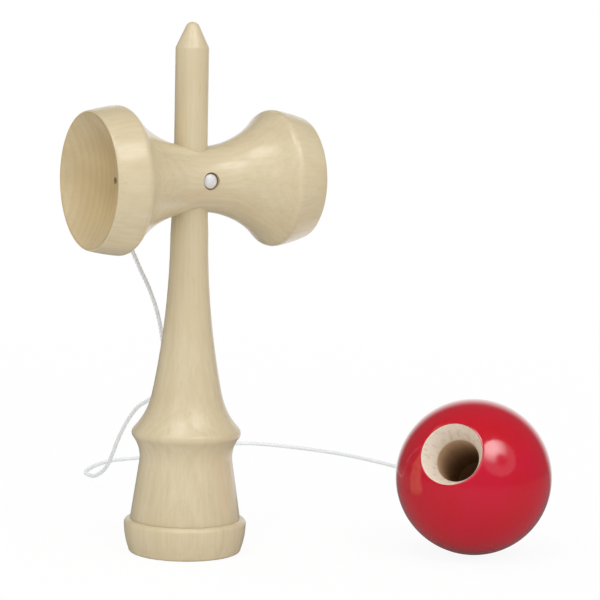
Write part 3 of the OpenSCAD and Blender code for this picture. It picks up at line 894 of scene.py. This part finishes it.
def draw_ball(sizes):
    """The ball with its bevel, bore, taper and string hole."""
    mouth, top, end, taper_end = bore_places(sizes)
    back = -sqrt(sizes.radius ** 2 - sizes.string_hole_r ** 2)
    pen = Pen(sizes.string_hole_r, back)
    pen.arc((0, 0), (sizes.bevel_r, mouth), 84)
    pen.line(sizes.bore_r, top)
    pen.line(sizes.bore_r, end)
    pen.line(sizes.string_hole_r, taper_end)
    pen.line(sizes.string_hole_r, back)
    bm = pen.turned(sizes.steps)
    soften(bm, sizes.edge)
    to_ball(bm)
    return bm


def draw_bead(sizes):
    """The bead: a ball with flat ends and a hole for the string."""
    seat, half = bead_place(sizes)
    pen = Pen(sizes.bead_hole_r, seat - half)
    pen.line(sizes.bead_flat_r, seat - half)
    pen.arc((0, seat), (sizes.bead_flat_r, seat + half), 18)
    pen.line(sizes.bead_hole_r, seat + half)
    pen.line(sizes.bead_hole_r, seat - half)
    bm = pen.turned(sizes.bead_steps)
    soften(bm, sizes.edge)
    to_ball(bm)
    return bm


def pin_seat(pin):
    """Place along Y of the counterbore's floor, where the pin's head sits."""
    return PIN_LOW.y + pin.head_t + pin.dome


def draw_pin(sizes):
    """The pin, from the tip of its point to the dome of its head, with its head facing -Y."""
    seat = pin_seat(sizes)
    shank = PIN_HIGH.y - seat
    dome_r = dish_radius(sizes.head_r, sizes.dome)
    pen = Pen(0, -shank)
    pen.line(sizes.shank_r, sizes.point - shank)
    pen.line(sizes.shank_r, 0)
    pen.line(sizes.head_r, 0)
    pen.line(sizes.head_r, sizes.head_t)
    pen.arc((0, sizes.head_t + sizes.dome - dome_r), (0, sizes.head_t + sizes.dome), 8)
    bm = pen.turned(sizes.steps)
    soften(bm, sizes.edge, None, radians(40))
    placed = Matrix.Translation((PIN_X, seat, CROSS_Z)) @ Matrix.Rotation(pi / 2, 4, "X")
    bmesh.ops.transform(bm, matrix=placed, verts=bm.verts[:])
    return bm


# The umbrella lamp's face, in shares of its width: where its head hides it and where its bulb shines,
# how far from there each begins and stops to fade, and what is left where it is dim
HEAD, HEAD_FADE, HEAD_DIM = (0.54, 0.42, 0.0), (0.1, 0.2), 0.06
BULB, BULB_FADE, BULB_DIM = (0.42, 0.8, 0.0), (0.15, 0.45), 0.08


def seen_rays(nodes):
    """1 for rays that see or mirror the background, and 0 for those that light the object."""
    rays = nodes.add("ShaderNodeLightPath").outputs
    mirrored = nodes.maths("MAXIMUM", rays["Is Glossy Ray"], rays["Is Transmission Ray"])
    return nodes.maths("MAXIMUM", rays["Is Camera Ray"], mirrored)


def background_light(nodes, way, stage):
    """White where it is seen, and a backdrop in a dimmer room where it is mirrored in a direction."""
    middle = sin(stage.backdrop), cos(stage.backdrop), 0.0
    behind = nodes.add("ShaderNodeVectorMath", {0: way, 1: middle}, operation="DOT_PRODUCT").outputs["Value"]
    return nodes.maths("MAXIMUM", nodes.add("ShaderNodeLightPath").outputs["Is Camera Ray"],
                       nodes.between(behind, stage.backdrop_edge, 1.0, stage.room, 1.0, "SMOOTHSTEP"))


class CUPBALL_OT_stage(bpy.types.Operator):
    """Set up the camera, the lights and the pale floor"""
    bl_idname = "cupball.set_stage"
    bl_label = "Stage"

    def execute(self, context):
        stage = context.scene.cupball_stage
        self.camera(context, stage)
        self.world(context, stage)
        self.floor(stage)
        self.umbrella(self.lamp("umbrella", stage.key_way, stage.key_distance, stage.key_size,
                                stage.key_strength))
        self.lamp("soft box", stage.top_way, stage.top_distance, stage.top_size, stage.top_strength)
        self.lamp("soft lamp", stage.fill_way, stage.fill_distance, stage.fill_size, stage.fill_strength)
        context.scene.view_settings.view_transform = "Standard"
        return {"FINISHED"}

    def camera(self, context, stage):
        """The camera at the photograph's place."""
        camera = bpy.data.objects.new("camera", bpy.data.cameras.new("camera"))
        camera.data.sensor_width = stage.sensor
        camera.data.lens = stage.lens
        turn = (Matrix.Rotation(-stage.heading, 4, "Z") @ Matrix.Rotation(pi / 2 - stage.pitch, 4, "X")
                @ Matrix.Rotation(stage.roll, 4, "Z"))
        camera.matrix_world = Matrix.Translation((stage.camera_x, stage.camera_y, stage.camera_z)) @ turn
        context.scene.collection.objects.link(camera)
        context.scene.camera = camera

    def world(self, context, stage):
        """A plain level of light from all round, in front of a white background."""
        world = bpy.data.worlds.new("studio")
        world.use_nodes = True
        context.scene.world = world
        nodes = Nodes(world.node_tree)
        way = nodes.add("ShaderNodeTexCoord").outputs["Generated"]
        strength = nodes.add("ShaderNodeMix", {"Factor": seen_rays(nodes), "A": stage.ambient,
                                               "B": background_light(nodes, way, stage)})
        background = nodes.tree.nodes["Background"]
        nodes.put(background.inputs["Color"], (1.0, 1.0, 1.0))
        nodes.put(background.inputs["Strength"], strength.outputs["Result"])

    def floor(self, stage):
        """A pale floor that is nearly white where it is seen, and keeps the shadow."""
        bm = bmesh.new()
        bmesh.ops.create_grid(bm, x_segments=1, y_segments=1, size=stage.floor_size / 2)
        floor = new_object(bm, "floor")
        finish = Finish("pale floor")
        finish.shade(Base_Color=stage.floor, Roughness=0.9, Specular_IOR_Level=0.0)
        from_ball = finish.mapped(finish.object_place, location=-BALL_C)
        way = finish.add("ShaderNodeVectorMath", {0: from_ball}, operation="NORMALIZE").outputs["Vector"]
        white = finish.add("ShaderNodeEmission", {"Strength": background_light(finish, way, stage)})
        share_white = finish.between(finish.distance(finish.object_place, MIDDLE), stage.floor_near,
                                     stage.floor_far, stage.floor_white, 1.0)
        seen_white = finish.maths("MULTIPLY", seen_rays(finish), share_white)
        mixed = finish.add("ShaderNodeMixShader", {0: seen_white, 1: finish.shader.outputs["BSDF"],
                                                   2: white.outputs["Emission"]})
        finish.put(finish.tree.nodes["Material Output"].inputs["Surface"], mixed.outputs["Shader"])
        floor.data.materials.append(finish.material)

    def lamp(self, name, way, distance, size, strength):
        """A round soft lamp, given by the strength of its face."""
        data = bpy.data.lights.new(name, "AREA")
        data.shape = "DISK"
        data.size = size
        data.energy = strength * pi * pi * size * size / 4
        lamp = bpy.data.objects.new(name, data)
        lamp.location = MIDDLE + way.normalized() * distance
        lamp.rotation_euler = way.to_track_quat("Z", "Y").to_euler()
        bpy.context.scene.collection.objects.link(lamp)
        return data

    def umbrella(self, data):
        """Makes a lamp's face dim behind its head, and bright where its bulb shines."""
        data.use_nodes = True
        nodes = Nodes(data.node_tree)
        face = nodes.add("ShaderNodeNewGeometry").outputs["Parametric"]
        bulb = nodes.between(nodes.distance(face, BULB), *BULB_FADE, 1.0, BULB_DIM)
        head = nodes.between(nodes.distance(face, HEAD), *HEAD_FADE, HEAD_DIM, 1.0)
        nodes.put(nodes.tree.nodes["Emission"].inputs["Strength"], nodes.maths("MULTIPLY", bulb, head))


class CUPBALL_OT_string(bpy.types.Operator):
    """Add the white string, from the handle round to the ball"""
    bl_idname = "cupball.add_string"
    bl_label = "String"

    def execute(self, context):
        scene = context.scene
        sizes = scene.cupball_string
        cotton = white_cotton(scene.cupball_finishes)
        strand = Strand(sizes)

        def add(name, route):
            piece = new_object(strand.along(route), name)
            dress(piece, [cotton], pi)
            return piece

        route = string_route(sizes)
        string = add("white_string", route)
        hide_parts("string")
        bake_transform(string)

        seat, half = bead_place(scene.cupball_ball)
        tail_end = BALL_C + (seat + half) * BORE_AXIS
        tail = add("string_in_ball", [BALL_C - BALL_R * BORE_AXIS, tail_end])
        stand_for(tail, "string_end", "string_tail")
        stopper = add("stopper_knot", knot_route(tail_end, BORE_AXIS, sizes))
        stand_for(stopper, "string_end", "bead_knot")
        anchor = Vector((0, ANCHOR_LOW.y, CROSS_Z))
        tied = add("tied_knot", knot_route(anchor, Vector((0, 1, 0)), sizes))
        stand_for(tied, "handle_set", "anchor_knot")
        return {"FINISHED"}


class CUPBALL_OT_handle(bpy.types.Operator):
    """Add the turned handle with its spike, collar and base cup"""
    bl_idname = "cupball.add_handle"
    bl_label = "Handle"

    def execute(self, context):
        scene = context.scene
        handle = new_object(draw_handle(scene.cupball_handle, scene.cupball_cross), "turned_handle")
        mark_end_grain(handle, Vector(), Vector((0, 0, 1)))
        looks = scene.cupball_finishes
        wood = pale_wood("handle wood", looks, HANDLE_PITH, looks.handle_coat, looks.handle_end)
        dress(handle, [wood])
        stand_for(handle, "handle_set", "handle")
        return {"FINISHED"}


class CUPBALL_OT_cross_piece(bpy.types.Operator):
    """Add the cross-piece with its two cups"""
    bl_idname = "cupball.add_cross_piece"
    bl_label = "Cross-piece"

    def execute(self, context):
        scene = context.scene
        sizes, handle, pin = scene.cupball_cross, scene.cupball_handle, scene.cupball_pin
        cross = new_object(draw_cross(sizes), "turned_cross_piece")
        seat_half, seat_r = handle_seat(handle, sizes)
        head_seat = pin_seat(pin)
        hole_r = pin.head_r + pin.head_gap
        outside = 2 * sizes.waist_r
        cut_out(cross, [
            rod((0, 0, CROSS_Z - seat_half), (0, 0, CROSS_Z + seat_half), seat_r + sizes.seat_gap,
                handle.spike_r + sizes.seat_gap, 96),
            rod((PIN_X, -outside, CROSS_Z), (PIN_X, head_seat, CROSS_Z), hole_r, hole_r),
            rod((0, 0, CROSS_Z), (0, outside, CROSS_Z), sizes.string_hole_r, sizes.string_hole_r)])
        mark_end_grain(cross, Vector((0, 0, CROSS_Z)), Vector((1, 0, 0)))
        mark = (CROSS_LOW.x + sizes.big_cup, 0, CROSS_Z)
        looks = scene.cupball_finishes
        # Painted shade in the counterbore round the pin's head and in the lathe's centre mark
        shaded_recesses = [((PIN_X, head_seat, CROSS_Z), 0.96 * hole_r, 1.01 * hole_r),
                      (mark, 0.8 * sizes.mark_r, 1.3 * sizes.mark_r)]
        wood = pale_wood("cross-piece wood", looks, CROSS_PITH, looks.cross_coat, looks.cross_end,
                         (0, -pi / 2, 0), shaded_recesses)
        dress(cross, [wood])
        stand_for(cross, "handle_set", "cross_piece")
        return {"FINISHED"}


class CUPBALL_OT_pin(bpy.types.Operator):
    """Add the bright pin that holds the cross-piece"""
    bl_idname = "cupball.add_pin"
    bl_label = "Pin"

    def execute(self, context):
        pin = new_object(draw_pin(context.scene.cupball_pin), "bright_pin")
        dress(pin, [bright_steel(context.scene.cupball_finishes)])
        stand_for(pin, "handle_set", "cross_pin")
        return {"FINISHED"}


class CUPBALL_OT_ball(bpy.types.Operator):
    """Add the red ball with its bevelled bore"""
    bl_idname = "cupball.add_ball"
    bl_label = "Ball"

    def execute(self, context):
        sizes, looks = context.scene.cupball_ball, context.scene.cupball_finishes
        ball = new_object(draw_ball(sizes), "lacquered_ball")
        dress(ball, [red_lacquer(looks), bare_wood(looks, sizes)])
        painted = sizes.radius - sizes.paint_edge
        for face in ball.data.polygons:
            spot = face.center - BALL_C
            from_axis = (spot - spot.dot(BORE_AXIS) * BORE_AXIS).length
            face.material_index = int(from_axis < 1.05 * sizes.string_hole_r or spot.length < painted)
        stand_for(ball, "ball", "ball")
        return {"FINISHED"}


class CUPBALL_OT_bead(bpy.types.Operator):
    """Add the wooden bead that holds the string in the ball"""
    bl_idname = "cupball.add_bead"
    bl_label = "Bead"

    def execute(self, context):
        bead = new_object(draw_bead(context.scene.cupball_ball), "wooden_bead")
        dress(bead, [bead_wood(context.scene.cupball_finishes)])
        stand_for(bead, "string_end", "ball_bead")
        return {"FINISHED"}


class CUPBALL_PT_panel(bpy.types.Panel):
    """Lists the pieces of the toy"""
    bl_idname = "CUPBALL_PT_panel"
    bl_label = "Cup and Ball Toy"
    bl_space_type = "VIEW_3D"
    bl_region_type = "UI"
    bl_category = "Cup and Ball"

    def draw(self, context):
        for operator in OPERATORS:
            self.layout.operator(operator.bl_idname)
        for name in SETTINGS:
            box = self.layout.box()
            box.label(text=SETTINGS[name].__doc__)
            group = getattr(context.scene, name)
            for key in SETTINGS[name].__annotations__:
                box.prop(group, key)


SETTINGS = {
    "cupball_stage": StageSettings,
    "cupball_finishes": Finishes,
    "cupball_string": StringSizes,
    "cupball_handle": HandleSizes,
    "cupball_cross": CrossSizes,
    "cupball_pin": PinSizes,
    "cupball_ball": BallSizes,
}
OPERATORS = [CUPBALL_OT_stage, CUPBALL_OT_bead, CUPBALL_OT_string, CUPBALL_OT_handle,
             CUPBALL_OT_cross_piece, CUPBALL_OT_pin, CUPBALL_OT_ball]


def register():
    for item in [*SETTINGS.values(), *OPERATORS, CUPBALL_PT_panel]:
        bpy.utils.register_class(item)
    for name, group in SETTINGS.items():
        setattr(bpy.types.Scene, name, PointerProperty(type=group))


def unregister():
    for name in SETTINGS:
        delattr(bpy.types.Scene, name)
    for item in reversed([*SETTINGS.values(), *OPERATORS, CUPBALL_PT_panel]):
        bpy.utils.unregister_class(item)


def main():
    register()
    bpy.ops.cupball.set_stage()
    bpy.ops.cupball.add_bead()
    bpy.ops.cupball.add_string()
    bpy.ops.cupball.add_handle()
    bpy.ops.cupball.add_cross_piece()
    bpy.ops.cupball.add_pin()
    bpy.ops.cupball.add_ball()


if __name__ == "__main__":
    main()
